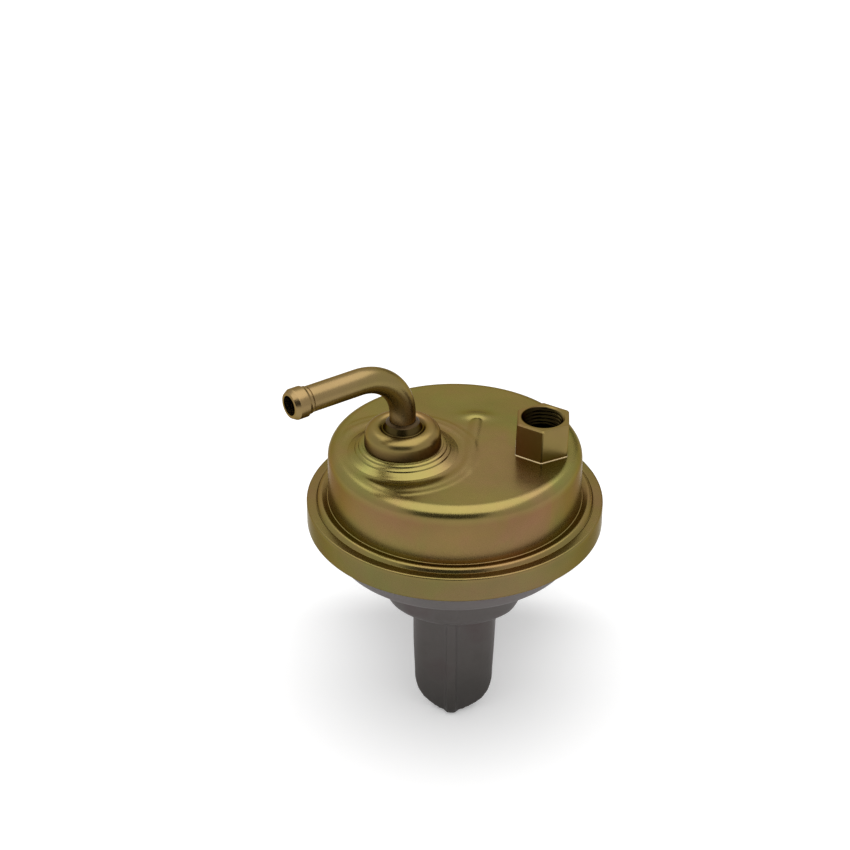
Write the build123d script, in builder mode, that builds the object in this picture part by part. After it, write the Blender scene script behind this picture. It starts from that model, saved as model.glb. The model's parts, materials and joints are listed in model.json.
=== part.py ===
from build123d import *
import math
import os

# Mechanical fuel pump with a stamped cover, a die-cast body and a rocker arm.
# Millimetres, +Z up. The origin is midway between the two bolt holes, on the
# face that bolts to the engine, and +Y points into the engine.

# Place of the pump's own axis
face_to_axis = 50.0
rim_above_bolts = 34.0

# Crimped stack at the rim, from the underside up
rim_r = 46.7
rim_edge_r = 1.4
cover_t = 1.5
lip_t = 1.2
lip_gap = 0.3
casting_flange_t = 2.0
diaphragm_t = 1.0
plate_t = 1.0
gasket_t = 0.6
stack_play = 0.1

# Upper cover, its places set in from the rim
cover_top_z = 26.6
cover_wall_inset = 7.05
cover_draft = 0.25
cover_corner_r = 4.0
bead_inset = 5.0
bead_h = 1.1
bead_round = 2.0
plateau_r = 24.5
plateau_h = 0.5
plateau_from_inlet = (-0.75, -1.04)
ridge_place = (5.5, -1.1)
ridge_length = 34.0
ridge_width = 5.2
ridge_h = 1.5
ridge_angle = 85.6
swell_place = (6.2, 17.0)
swell_r = 3.8
swell_h = 1.6

# Inlet side
inlet_x = -15.89
inlet_y = -6.34
boss_h = 3.4
boss_top_r = 12.6
# Radius beyond the boss's top and depth below it, down its steps
boss_steps = [
    (0.0, 0.35),
    (0.3, 0.4),
    (1.0, 0.7),
    (1.2, 1.05),
    (1.5, 1.25),
    (2.15, 1.75),
    (2.4, 2.0),
    (3.7, 2.85),
    (4.9, 3.1),
]
cap_r = 11.65
cap_h = 6.2
cap_t = 1.4
cap_shoulder_r = 2.8
collar_r = 5.5
collar_h = 1.2
collar_flare = 0.9
tube_r = 4.05
tube_bore_r = 3.1
tube_bend_r = 16.1
tube_arm_z = 56.4
tube_arm_length = 40.1
tube_arm_angle = 218.1
bead_land_r = 4.8
bead_land_length = 3.2
braze_fit = 0.03

# Outlet side
outlet_x = 26.75
outlet_y = -2.1
hex_across_flats = 15.875
hex_h = 11.7
hex_turn = 0.0
thread_r = 5.75
thread_depth = 8.4
thread_lead = 0.7
relief_r = 5.2
relief_h = 1.8
flare_seat_h = 1.6
flare_hole_r = 3.0
spigot_r = 7.2
fillet_reach = 0.6
fillet_h = 0.35

# Lower housing, the bowl set in from the rim
bowl_inset = 2.9
bowl_slope = 28.0
bowl_foot_z = -10.9
bowl_edge_r = 3.0
bowl_wall = 3.6
hub_r = 22.9
hub_foot_z = -28.4
hub_edge_r = 3.0
hub_corner_r = 2.0
spring_pocket_r = 17.5
pocket_floor_z = -22.0
floor_rise = 1.2
stem_half_top = 13.2
stem_half_foot = 12.05
stem_top_z = -22.6
stem_front = 17.2
stem_v_angle = 20.0
stem_edge_r = 6.0
stem_widest_y = 5.0
stem_narrowing = 0.8
stem_foot_z = -66.3
rib_width = 3.0
rib_proud = 1.0
hub_rib_proud = 0.6

# Mounting flange
flange_t = 9.0
bolt_spacing = 70.0
bolt_hole_r = 5.15
ear_r = 11.0
flange_mid_r = 24.0

# Rocker arm and its pocket
pocket_half = 8.5
pocket_top_z = -27.5
pocket_foot_z = -58.0
pivot_y = 30.0
pivot_z = -38.0
pin_r = 4.0
bush_r = 5.5
running_fit = 0.05
arm_side_play = 0.5
arm_hub_r = 8.0
nose_r = 2.5
nose_z = -40.0
arm_beam_half = 4.5
pad_y = 82.0
pad_z = -40.5
pad_r = 4.6
pad_half = 7.0

divider_t = 1.8

# Diaphragm assembly
rod_r = 3.0
rod_neck_r = 2.2
foot_r = 5.0
foot_t = 2.5
foot_gap = 0.3
washer_r = 22.0
washer_t = 1.2
roll_from_washer = 4.0
roll_from_bowl = 2.2
roll_depth = 2.2
spring_mean_r = 12.5
spring_wire_r = 1.2
spring_turns = 4.5
arm_spring_mean_r = 6.6
arm_spring_wire_r = 0.8
spring_seat_gap = 0.05
seal_r = 7.5
seal_t = 3.5
retainer_t = 1.0

# Valves
valve_plate_z = 14.0
dish_gap = 1.0
seat_r = 7.7
seat_flange_r = 8.6
seat_flange_t = 0.8
valve_hole_r = 1.3
valve_hole_circle_r = 4.4
disc_r = 6.3
disc_t = 0.8
disc_gap = 0.05
valve_stem_r = 1.1
valve_stem_reach = 5.4
keeper_r = 3.4
keeper_t = 0.7
valve_spring_r = 2.4
valve_wire_r = 0.25
valve_spring_turns = 3

# Heights of the stack that follow from the thicknesses
casting_flange_z = lip_t + stack_play / 2
diaphragm_z = casting_flange_z + casting_flange_t
plate_flange_z = diaphragm_z + diaphragm_t
gasket_z = plate_flange_z + plate_t
cover_flange_z = gasket_z + gasket_t
clamp_inner_r = rim_r - cover_t
clamped_r = clamp_inner_r - stack_play
land_z = cover_flange_z + cover_t
cover_wall_r = rim_r - cover_wall_inset
wall_foot_r = cover_wall_r + cover_draft
cover_bore_r = cover_wall_r - cover_t
bead_r = rim_r - bead_inset
bowl_top_r = rim_r - bowl_inset
bowl_fall = math.tan(math.radians(bowl_slope))
bowl_foot_r = bowl_top_r + bowl_foot_z * bowl_fall
bowl_bore_r = bowl_top_r - bowl_wall
lip_inner_r = bowl_top_r + lip_gap
roll_inner_r = washer_r + roll_from_washer
roll_outer_r = bowl_bore_r - roll_from_bowl
boss_top_z = cover_top_z + boss_h
inlet_hole_r = cap_r - cap_t - 3.0
cover_inside_z = cover_top_z - cover_t
diaphragm_top_z = diaphragm_z + diaphragm_t
plate_top_z = valve_plate_z + plate_t

# Planes of the pump: section() holds radius and height from the rim's
# underside, level() is a horizontal plane, and side runs towards the engine.
pump_origin = (0, -face_to_axis, rim_above_bolts)
pump_axis = Axis(pump_origin, (0, 0, 1))
side = Plane(origin=pump_origin, x_dir=(0, 1, 0), z_dir=(1, 0, 0))


def level(height):
    return Plane(origin=(0, -face_to_axis, rim_above_bolts + height))


def section(x=0.0, y=0.0):
    origin = (x, y - face_to_axis, rim_above_bolts)
    return Plane(origin=origin, x_dir=(1, 0, 0), z_dir=(0, -1, 0))


def upright_axis(x, y):
    return Axis((x, y - face_to_axis, rim_above_bolts), (0, 0, 1))


def finish(builder, name):
    builder.part.label = name
    export_step(builder.part, f"parts/{name}.step")


os.makedirs("parts", exist_ok=True)

# Upper cover
with BuildPart() as upper_cover:
    with BuildSketch(section()):
        with BuildLine():
            outside = FilletPolyline(
                (0, cover_top_z),
                (cover_wall_r, cover_top_z),
                (wall_foot_r, land_z + bead_h - 0.7),
                (bead_r - 1.1, land_z + bead_h),
                (bead_r + 1.2, land_z + bead_h),
                (bead_r + 2.3, land_z - 0.3),
                (bead_r + 2.8, land_z),
                (rim_r, land_z),
                (rim_r, 0),
                (lip_inner_r, 0),
                radius=[cover_corner_r, 0.1, 1.5, bead_round, 0.3, 0.3, rim_edge_r, 0.8],
            )
            inside = FilletPolyline(
                (lip_inner_r, lip_t),
                (clamp_inner_r, lip_t),
                (clamp_inner_r, cover_flange_z),
                (bead_r, cover_flange_z),
                (wall_foot_r - cover_t, land_z),
                (cover_bore_r, cover_inside_z),
                (0, cover_inside_z),
                radius=[0.05, 0.05, 0.6, 1.0, cover_corner_r - cover_t],
            )
            Line(outside @ 1, inside @ 0)
            Line(inside @ 1, outside @ 0)
        make_face()
    revolve(axis=pump_axis)
    # Low plateau round the inlet, kept inside the flat of the top
    plateau_x = inlet_x + plateau_from_inlet[0]
    plateau_y = inlet_y + plateau_from_inlet[1]
    with BuildSketch(level(cover_top_z - 0.2)):
        with Locations((plateau_x, plateau_y)):
            Circle(plateau_r)
        Circle(cover_wall_r - cover_corner_r + 0.4, mode=Mode.INTERSECT)
    extrude(amount=plateau_h + 0.2, taper=35)
    # Ridge between the ports, with a swelling beyond its far end
    with BuildSketch(level(cover_top_z - 0.1)):
        with Locations(ridge_place):
            SlotCenterToCenter(ridge_length - ridge_width, ridge_width, rotation=ridge_angle)
    extrude(amount=ridge_h + 0.1, taper=50)
    with BuildSketch(level(cover_top_z - 0.1)):
        with Locations(swell_place):
            Circle(swell_r)
    extrude(amount=swell_h + 0.1, taper=50)
    # Stepped boss under the inlet cap, hollow below
    with BuildSketch(section(inlet_x, inlet_y)):
        with BuildLine():
            boss_points = [(boss_top_r + out, boss_top_z - down) for out, down in boss_steps]
            Polyline(
                (0, boss_top_z),
                (boss_top_r, boss_top_z),
                *boss_points,
                (boss_points[-1][0], cover_top_z - 0.3),
                (0, cover_top_z - 0.3),
                close=True,
            )
        make_face()
    revolve(axis=upright_axis(inlet_x, inlet_y))
    with BuildSketch(section(inlet_x, inlet_y)):
        with BuildLine():
            Polyline(
                (0, cover_inside_z - 0.1),
                (boss_points[-2][0] - cover_t, cover_inside_z - 0.1),
                (boss_top_r - cover_t, boss_top_z - cover_t),
                (inlet_hole_r, boss_top_z - cover_t),
                (inlet_hole_r, boss_top_z + 0.1),
                (0, boss_top_z + 0.1),
                close=True,
            )
        make_face()
    revolve(axis=upright_axis(inlet_x, inlet_y), mode=Mode.SUBTRACT)
    # Hole for the outlet fitting's spigot
    with BuildSketch(level(cover_inside_z - 0.1)):
        with Locations((outlet_x, outlet_y)):
            Circle(spigot_r)
    extrude(amount=cover_t + 0.2, mode=Mode.SUBTRACT)
finish(upper_cover, "upper_cover")

# Inlet cap: a hollow drum brazed on the boss
cap_top_z = boss_top_z + cap_h
with BuildPart() as inlet_cap:
    with BuildSketch(section(inlet_x, inlet_y)):
        with BuildLine():
            cap_out = FilletPolyline(
                (cap_r, boss_top_z),
                (cap_r, cap_top_z),
                (collar_r + collar_flare, cap_top_z),
                (collar_r, cap_top_z + collar_h),
                (tube_r + braze_fit, cap_top_z + collar_h),
                radius=[cap_shoulder_r, 1.6, 0.2],
            )
            cap_in = FilletPolyline(
                (tube_r + braze_fit, cap_top_z - cap_t),
                (cap_r - cap_t, cap_top_z - cap_t),
                (cap_r - cap_t, boss_top_z),
                radius=cap_shoulder_r - cap_t,
            )
            Line(cap_out @ 1, cap_in @ 0)
            Line(cap_in @ 1, cap_out @ 0)
        make_face()
    revolve(axis=upright_axis(inlet_x, inlet_y))
finish(inlet_cap, "inlet_cap")

# Inlet tube: one bent tube with a hose bead near its open end
tube_foot = Vector(inlet_x, inlet_y - face_to_axis, rim_above_bolts + cap_top_z - cap_t)
tube_corner = Vector(inlet_x, inlet_y - face_to_axis, rim_above_bolts + tube_arm_z)
arm_heading = math.radians(tube_arm_angle)
tube_out = Vector(math.cos(arm_heading), math.sin(arm_heading), 0)
tube_tip = tube_corner + tube_out * tube_arm_length
bead_plane = Plane(origin=tube_tip, x_dir=(0, 0, 1), z_dir=tube_out.cross(Vector(0, 0, 1)))
with BuildPart() as inlet_tube:
    with BuildLine():
        tube_path = FilletPolyline(tube_foot, tube_corner, tube_tip, radius=tube_bend_r)
    with BuildSketch(Plane(origin=tube_foot, z_dir=(0, 0, 1))):
        Circle(tube_r)
    sweep(path=tube_path)
    with BuildSketch(bead_plane):
        with BuildLine():
            Polyline(
                (0, 0),
                (tube_r - 0.2, 0),
                (bead_land_r, 1.4),
                (bead_land_r, 1.4 + bead_land_length),
                (tube_r + 0.25, 2.2 + bead_land_length),
                (tube_r + 0.25, 2.9 + bead_land_length),
                (tube_r - 0.3, 3.2 + bead_land_length),
                (0, 3.2 + bead_land_length),
                close=True,
            )
        make_face()
    revolve(axis=Axis(tube_tip, tube_out))
    with BuildSketch(Plane(origin=tube_foot, z_dir=(0, 0, 1))):
        Circle(tube_bore_r)
    sweep(path=tube_path, mode=Mode.SUBTRACT)
finish(inlet_tube, "inlet_tube")

# Braze ring where the tube enters the cap's collar
with BuildPart() as tube_braze_ring:
    with BuildSketch(section(inlet_x, inlet_y)):
        with BuildLine():
            Polyline(
                (tube_r + braze_fit, cap_top_z + collar_h),
                (collar_r - 0.3, cap_top_z + collar_h),
                (collar_r - 0.6, cap_top_z + collar_h + 0.3),
                (tube_r + braze_fit, cap_top_z + collar_h + 0.6),
                close=True,
            )
        make_face()
    revolve(axis=upright_axis(inlet_x, inlet_y))
finish(tube_braze_ring, "tube_braze_ring")

# Outlet fitting: a hexagon with a threaded hole and an inverted flare seat
hex_top_z = cover_top_z + hex_h
hex_corner_r = hex_across_flats / math.sqrt(3)
thread_floor_z = hex_top_z - thread_depth
with BuildPart() as outlet_fitting:
    with BuildSketch(level(cover_top_z)):
        with Locations((outlet_x, outlet_y)):
            RegularPolygon(hex_corner_r, 6, rotation=30 + hex_turn)
    extrude(amount=hex_h)
    with BuildSketch(section(outlet_x, outlet_y)):
        with BuildLine():
            Polyline(
                (0, cover_top_z),
                (hex_corner_r + 0.3, cover_top_z),
                (hex_corner_r + 0.1, hex_top_z - 0.6),
                (hex_corner_r - 0.75, hex_top_z),
                (0, hex_top_z),
                close=True,
            )
        make_face()
    revolve(axis=upright_axis(outlet_x, outlet_y), mode=Mode.INTERSECT)
    with BuildSketch(level(cover_inside_z - 0.8)):
        with Locations((outlet_x, outlet_y)):
            Circle(spigot_r - braze_fit)
    extrude(amount=cover_t + 0.8)
    # Threaded hole with a lead-in, then a relief round the raised flare seat
    with BuildSketch(section(outlet_x, outlet_y)):
        with BuildLine():
            Polyline(
                (flare_hole_r, cover_inside_z - 1.0),
                (flare_hole_r, thread_floor_z + flare_seat_h),
                (relief_r, thread_floor_z),
                (relief_r, thread_floor_z + relief_h),
                (thread_r, thread_floor_z + relief_h),
                (thread_r, hex_top_z - thread_lead),
                (thread_r + 0.75, hex_top_z + 0.05),
                (0, hex_top_z + 0.05),
                (0, cover_inside_z - 1.0),
                close=True,
            )
        make_face()
    revolve(axis=upright_axis(outlet_x, outlet_y), mode=Mode.SUBTRACT)
finish(outlet_fitting, "outlet_fitting")

# Braze fillet round the hexagon's foot
with BuildPart() as outlet_braze_fillet:
    with BuildSketch(level(cover_top_z)):
        with Locations((outlet_x, outlet_y)):
            RegularPolygon(hex_corner_r + fillet_reach, 6, rotation=30 + hex_turn)
    extrude(amount=fillet_h, taper=50)
    with BuildSketch(level(cover_top_z)):
        with Locations((outlet_x, outlet_y)):
            RegularPolygon(hex_corner_r + braze_fit, 6, rotation=30 + hex_turn)
    extrude(amount=fillet_h, mode=Mode.SUBTRACT)
finish(outlet_braze_fillet, "outlet_braze_fillet")

# Stem of the lower housing: a drafted pocket for the rocker arm, round ended
stem_round_z = stem_foot_z + stem_half_foot
stem_front_half = stem_half_top - stem_narrowing
stem_corner_y = -stem_front + stem_front_half * math.tan(math.radians(stem_v_angle))
flange_front = face_to_axis - flange_t
with BuildPart() as stem:
    with BuildSketch(Plane(origin=(0, -face_to_axis - stem_front, rim_above_bolts),
                           x_dir=(1, 0, 0), z_dir=(0, -1, 0))):
        with BuildLine():
            Polyline(
                (-stem_half_foot, stem_round_z),
                (-stem_half_top, hub_foot_z),
                (-stem_half_top, stem_top_z),
                (stem_half_top, stem_top_z),
                (stem_half_top, hub_foot_z),
                (stem_half_foot, stem_round_z),
            )
            ThreePointArc(
                (-stem_half_foot, stem_round_z),
                (0, stem_foot_z),
                (stem_half_foot, stem_round_z),
            )
        make_face()
    extrude(amount=-(stem_front + flange_front))
    with BuildSketch(level(stem_foot_z - 1.0)):
        with BuildLine():
            FilletPolyline(
                (-stem_half_top, flange_front),
                (-stem_half_top, stem_widest_y),
                (-stem_front_half, stem_corner_y),
                (0, -stem_front),
                (stem_front_half, stem_corner_y),
                (stem_half_top, stem_widest_y),
                (stem_half_top, flange_front),
                radius=[20.0, stem_edge_r, 2.0, stem_edge_r, 20.0],
            )
            Line((-stem_half_top, flange_front), (stem_half_top, flange_front))
        make_face()
    extrude(amount=stem_top_z - stem_foot_z + 1.0, mode=Mode.INTERSECT)
    # The underside rises towards the flange
    with BuildSketch(side):
        with BuildLine():
            Polyline(
                (8.0, stem_foot_z - 1.0),
                (flange_front + 1.0, pocket_foot_z + 4.4),
                (flange_front + 1.0, stem_foot_z - 1.0),
                close=True,
            )
        make_face()
    extrude(amount=stem_half_top + 1.0, both=True, mode=Mode.SUBTRACT)
    # Parting rib down the front
    with BuildSketch(side):
        with BuildLine():
            FilletPolyline(
                (-stem_front + 3.0, hub_foot_z + 4.0),
                (-stem_front - rib_proud, hub_foot_z + 4.0),
                (-stem_front - rib_proud, stem_foot_z - 0.4),
                (-stem_front + 6.0, stem_foot_z - 0.4),
                radius=[0.3, 2.0],
            )
            Line((-stem_front + 3.0, hub_foot_z + 4.0), (-stem_front + 6.0, stem_foot_z - 0.4))
        make_face()
    extrude(amount=rib_width / 2, both=True)

# Flange that bolts to the engine
with BuildPart() as mount_flange:
    with BuildSketch(Plane(origin=(0, 0, 0), x_dir=(1, 0, 0), z_dir=(0, -1, 0))):
        with Locations((-bolt_spacing / 2, 0), (bolt_spacing / 2, 0)):
            Circle(ear_r)
        Circle(flange_mid_r)
        make_hull()
    extrude(amount=flange_t)
    fillet(mount_flange.faces().sort_by(Axis.Y)[0].edges(), radius=1.2)

# Lower housing: bowl, hub, stem and flange in one casting
with BuildPart() as lower_housing:
    with BuildSketch(section()):
        with BuildLine():
            casting_out = FilletPolyline(
                (bowl_top_r, casting_flange_z),
                (bowl_top_r, 0),
                (bowl_foot_r, bowl_foot_z),
                (hub_r, bowl_foot_z + floor_rise),
                (hub_r, hub_foot_z),
                (0, hub_foot_z),
                radius=[1.0, bowl_edge_r, hub_corner_r, hub_edge_r],
            )
            Polyline(
                casting_out @ 0,
                (clamped_r, casting_flange_z),
                (clamped_r, diaphragm_z),
                (bowl_bore_r, diaphragm_z),
            )
            casting_in = FilletPolyline(
                (bowl_bore_r, diaphragm_z),
                (bowl_bore_r, 0),
                (bowl_bore_r + (bowl_foot_z + bowl_wall) * bowl_fall, bowl_foot_z + bowl_wall),
                (spring_pocket_r, bowl_foot_z + bowl_wall + floor_rise),
                (spring_pocket_r, pocket_floor_z),
                (0, pocket_floor_z),
                radius=[1.0, 2.0, 1.0, 1.0],
            )
            Line(casting_in @ 1, casting_out @ 1)
        make_face()
    revolve(axis=pump_axis)
    add(stem.part)
    add(mount_flange.part)
    # The parting rib goes on up the hub
    with BuildSketch(level(hub_foot_z + hub_edge_r)):
        with Locations((0, -hub_r)):
            Rectangle(rib_width, 2 * hub_rib_proud)
    extrude(amount=bowl_foot_z + floor_rise - hub_foot_z - hub_edge_r)
    # Web that ties the flange to the bowl, above the arm's pocket
    with BuildSketch(side):
        with BuildLine():
            Polyline(
                (hub_r - 2.0, bowl_foot_z + floor_rise + 0.3),
                (bowl_foot_r - bowl_edge_r, bowl_foot_z + 0.3),
                (flange_front + 0.5, stem_top_z + 9.0),
                (flange_front + 0.5, stem_top_z - 1.0),
                (hub_r - 2.0, stem_top_z - 1.0),
                close=True,
            )
        make_face()
    extrude(amount=2.5, both=True)
    # Pocket for the rocker arm, open at the mounting face
    with BuildSketch(side):
        with BuildLine():
            Polyline(
                (0, pocket_top_z),
                (face_to_axis + 1.0, pocket_top_z),
                (face_to_axis + 1.0, pivot_z - arm_hub_r + 1.1),
                (pocket_half, pocket_foot_z + 1.0),
                (0, pocket_foot_z + 1.0),
                close=True,
            )
        make_face()
    extrude(amount=pocket_half, both=True, mode=Mode.SUBTRACT)
    with BuildSketch(level(pocket_foot_z)):
        Circle(pocket_half)
    extrude(amount=pocket_top_z - pocket_foot_z, mode=Mode.SUBTRACT)
    # Bore that guides the pull rod
    with BuildSketch(level(pocket_top_z - 1.0)):
        Circle(rod_r + running_fit)
    extrude(amount=pocket_floor_z - pocket_top_z + 2.0, mode=Mode.SUBTRACT)
    # Cross bore for the pivot pin
    with BuildSketch(side):
        with Locations((pivot_y, pivot_z)):
            Circle(pin_r)
    extrude(amount=stem_half_top + 1.0, both=True, mode=Mode.SUBTRACT)
    # Bolt holes
    with BuildSketch(Plane(origin=(0, 1.0, 0), x_dir=(1, 0, 0), z_dir=(0, -1, 0))):
        with Locations((-bolt_spacing / 2, 0), (bolt_spacing / 2, 0)):
            Circle(bolt_hole_r)
    extrude(amount=flange_t + 2.0, mode=Mode.SUBTRACT)
finish(lower_housing, "lower_housing")

# Pivot pin, staked in the casting
with BuildPart() as pivot_pin:
    with BuildSketch(side):
        with Locations((pivot_y, pivot_z)):
            Circle(pin_r)
    extrude(amount=stem_half_foot + 0.2, both=True)
    chamfer(pivot_pin.edges().filter_by(GeomType.CIRCLE), length=0.4)
finish(pivot_pin, "pivot_pin")

# Bronze bush in the rocker arm
with BuildPart() as rocker_bush:
    with BuildSketch(side):
        with Locations((pivot_y, pivot_z)):
            Circle(bush_r)
            Circle(pin_r + running_fit, mode=Mode.SUBTRACT)
    extrude(amount=pocket_half - arm_side_play, both=True)
finish(rocker_bush, "rocker_bush")

# Rocker arm: a forked inner end, a hub and a long outer end with a wear pad
inner_half = pocket_half - 0.6
with BuildPart() as rocker_arm:
    with BuildSketch(side):
        with Locations((pivot_y, pivot_z)):
            Circle(arm_hub_r)
    extrude(amount=pocket_half - arm_side_play, both=True)
    with BuildSketch(side):
        with Locations((0, nose_z)):
            Circle(nose_r)
        with Locations((pivot_y, pivot_z + 1.5)):
            Circle(4.5)
        make_hull()
    extrude(amount=inner_half, both=True)
    with BuildSketch(side):
        with Locations((pivot_y, pivot_z)):
            Circle(arm_hub_r - 0.8)
        with Locations((pad_y, pad_z)):
            Circle(pad_r - 0.6)
        make_hull()
    extrude(amount=arm_beam_half, both=True)
    with BuildSketch(side):
        with Locations((pad_y - 4.0, pad_z), (pad_y + 4.0, pad_z)):
            Circle(pad_r)
        make_hull()
    extrude(amount=pad_half, both=True)
    # Slot between the fork's tines for the pull rod
    with BuildSketch(level(nose_z - 8.0)):
        with Locations((0, -4.0)):
            SlotCenterToCenter(10.4, 2 * rod_r + 0.8, rotation=90)
    extrude(amount=16.0, mode=Mode.SUBTRACT)
    with BuildSketch(side):
        with Locations((pivot_y, pivot_z)):
            Circle(bush_r)
    extrude(amount=pocket_half, both=True, mode=Mode.SUBTRACT)
finish(rocker_arm, "rocker_arm")

# Return spring under the fork, and the cap between them
cap_washer_top = nose_z - nose_r - 0.1
cap_washer_t = 1.3
with BuildPart() as arm_spring_cap:
    with BuildSketch(section()):
        with BuildLine():
            Polyline(
                (foot_r + 0.4, cap_washer_top - cap_washer_t),
                (pocket_half - 0.5, cap_washer_top - cap_washer_t),
                (pocket_half - 0.5, cap_washer_top),
                (foot_r + 0.4, cap_washer_top),
                close=True,
            )
        make_face()
    revolve(axis=pump_axis)
finish(arm_spring_cap, "arm_spring_cap")


def coil_spring(foot_z, top_z, mean_r, wire_r, turns, x=0.0, y=0.0):
    """A coil of round wire whose lowest and highest coils lie on its seats."""
    height = top_z - foot_z - 2 * wire_r
    start = (x, y - face_to_axis, rim_above_bolts + foot_z + wire_r)
    with BuildPart() as coil:
        with BuildLine():
            wire = Helix(pitch=height / turns, height=height, radius=mean_r, center=start)
        with BuildSketch(Plane(origin=wire @ 0, z_dir=wire % 0)):
            Circle(wire_r)
        sweep(path=wire, is_frenet=True)
    return coil


arm_return_spring = coil_spring(
    pocket_foot_z + spring_seat_gap,
    cap_washer_top - cap_washer_t - spring_seat_gap,
    arm_spring_mean_r,
    arm_spring_wire_r,
    spring_turns,
)
finish(arm_return_spring, "arm_return_spring")

# Oil seal on the pull rod, and its retainer, which seats the main spring
with BuildPart() as oil_seal:
    with BuildSketch(section()):
        with BuildLine():
            Polyline(
                (rod_r + running_fit, pocket_floor_z),
                (seal_r, pocket_floor_z),
                (seal_r, pocket_floor_z + seal_t),
                (rod_r + 1.6, pocket_floor_z + seal_t),
                (rod_r + running_fit, pocket_floor_z + seal_t - 1.4),
                close=True,
            )
        make_face()
    revolve(axis=pump_axis)
finish(oil_seal, "oil_seal")

with BuildPart() as seal_retainer:
    with BuildSketch(section()):
        with BuildLine():
            Polyline(
                (seal_r + 0.05, pocket_floor_z),
                (spring_pocket_r - 1.5, pocket_floor_z),
                (spring_pocket_r - 1.5, pocket_floor_z + retainer_t),
                (seal_r + retainer_t, pocket_floor_z + retainer_t),
                (seal_r + retainer_t, pocket_floor_z + seal_t + retainer_t),
                (rod_r + 0.6, pocket_floor_z + seal_t + retainer_t),
                (rod_r + 0.6, pocket_floor_z + seal_t),
                (seal_r + 0.05, pocket_floor_z + seal_t),
                close=True,
            )
        make_face()
    revolve(axis=pump_axis)
finish(seal_retainer, "seal_retainer")

# Diaphragm with one rolled convolution, clamped all round by the crimp
with BuildPart() as main_diaphragm:
    roll_mid_r = (roll_inner_r + roll_outer_r) / 2
    with BuildSketch(section()):
        with BuildLine():
            Line((rod_neck_r + running_fit, diaphragm_top_z), (roll_inner_r, diaphragm_top_z))
            ThreePointArc(
                (roll_inner_r, diaphragm_top_z),
                (roll_mid_r, diaphragm_top_z - roll_depth),
                (roll_outer_r, diaphragm_top_z),
            )
            Polyline(
                (roll_outer_r, diaphragm_top_z),
                (clamped_r, diaphragm_top_z),
                (clamped_r, diaphragm_z),
                (roll_outer_r, diaphragm_z),
            )
            ThreePointArc(
                (roll_outer_r, diaphragm_z),
                (roll_mid_r, diaphragm_z - roll_depth),
                (roll_inner_r, diaphragm_z),
            )
            Polyline(
                (roll_inner_r, diaphragm_z),
                (rod_neck_r + running_fit, diaphragm_z),
                (rod_neck_r + running_fit, diaphragm_top_z),
            )
        make_face()
    revolve(axis=pump_axis)
finish(main_diaphragm, "main_diaphragm")


def diaphragm_washer(face_z, away):
    """A backing washer whose rim turns away from the diaphragm."""
    with BuildPart() as washer:
        with BuildSketch(section()):
            with BuildLine():
                Polyline(
                    (rod_neck_r + running_fit, face_z),
                    (washer_r - 2.0, face_z),
                    (washer_r, face_z + away * 1.0),
                    (washer_r, face_z + away * (1.0 + washer_t)),
                    (washer_r - 2.6, face_z + away * washer_t),
                    (rod_neck_r + running_fit, face_z + away * washer_t),
                    close=True,
                )
            make_face()
        revolve(axis=pump_axis)
    return washer


diaphragm_upper_washer = diaphragm_washer(diaphragm_top_z, 1)
finish(diaphragm_upper_washer, "diaphragm_upper_washer")
diaphragm_lower_washer = diaphragm_washer(diaphragm_z, -1)
finish(diaphragm_lower_washer, "diaphragm_lower_washer")

# Pull rod: riveted through the diaphragm, with a foot below the fork
rod_foot_top = nose_z - nose_r - foot_gap
rod_shoulder_z = diaphragm_z - washer_t
rod_head_z = diaphragm_top_z + washer_t
with BuildPart() as pull_rod:
    with BuildSketch(section()):
        with BuildLine():
            Polyline(
                (0, rod_foot_top - foot_t),
                (foot_r, rod_foot_top - foot_t),
                (foot_r, rod_foot_top),
                (rod_r, rod_foot_top),
                (rod_r, rod_shoulder_z),
                (rod_neck_r, rod_shoulder_z),
                (rod_neck_r, rod_head_z),
                (rod_neck_r + 2.0, rod_head_z),
                (rod_neck_r + 1.0, rod_head_z + 1.4),
                (0, rod_head_z + 1.7),
                close=True,
            )
        make_face()
    revolve(axis=pump_axis)
finish(pull_rod, "pull_rod")

diaphragm_spring = coil_spring(
    pocket_floor_z + retainer_t + spring_seat_gap,
    rod_shoulder_z - spring_seat_gap,
    spring_mean_r,
    spring_wire_r,
    spring_turns,
)
finish(diaphragm_spring, "diaphragm_spring")

# Valve plate: a pressed dish that carries both valves
dish_r = cover_bore_r - dish_gap
valve_places = [(inlet_x, inlet_y), (outlet_x, outlet_y)]
with BuildPart() as valve_plate:
    with BuildSketch(section()):
        with BuildLine():
            dish_out = FilletPolyline(
                (0, plate_top_z),
                (dish_r, plate_top_z),
                (dish_r, plate_flange_z + plate_t),
                (clamped_r, plate_flange_z + plate_t),
                (clamped_r, plate_flange_z),
                radius=[2.0, 0.3, 0.1],
            )
            dish_in = FilletPolyline(
                (clamped_r, plate_flange_z),
                (dish_r - plate_t, plate_flange_z),
                (dish_r - plate_t, valve_plate_z),
                (0, valve_plate_z),
                radius=[0.5, 0.6],
            )
            Line(dish_in @ 1, dish_out @ 0)
        make_face()
    revolve(axis=pump_axis)
    with BuildSketch(level(valve_plate_z - 0.1)):
        with Locations(*valve_places):
            Circle(seat_r)
    extrude(amount=plate_t + 0.2, mode=Mode.SUBTRACT)
finish(valve_plate, "valve_plate")

# Gasket between the valve plate's flange and the cover
with BuildPart() as cover_gasket:
    with BuildSketch(level(gasket_z)):
        Circle(clamped_r)
        Circle(bead_r, mode=Mode.SUBTRACT)
    extrude(amount=gasket_t)
finish(cover_gasket, "cover_gasket")

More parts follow.
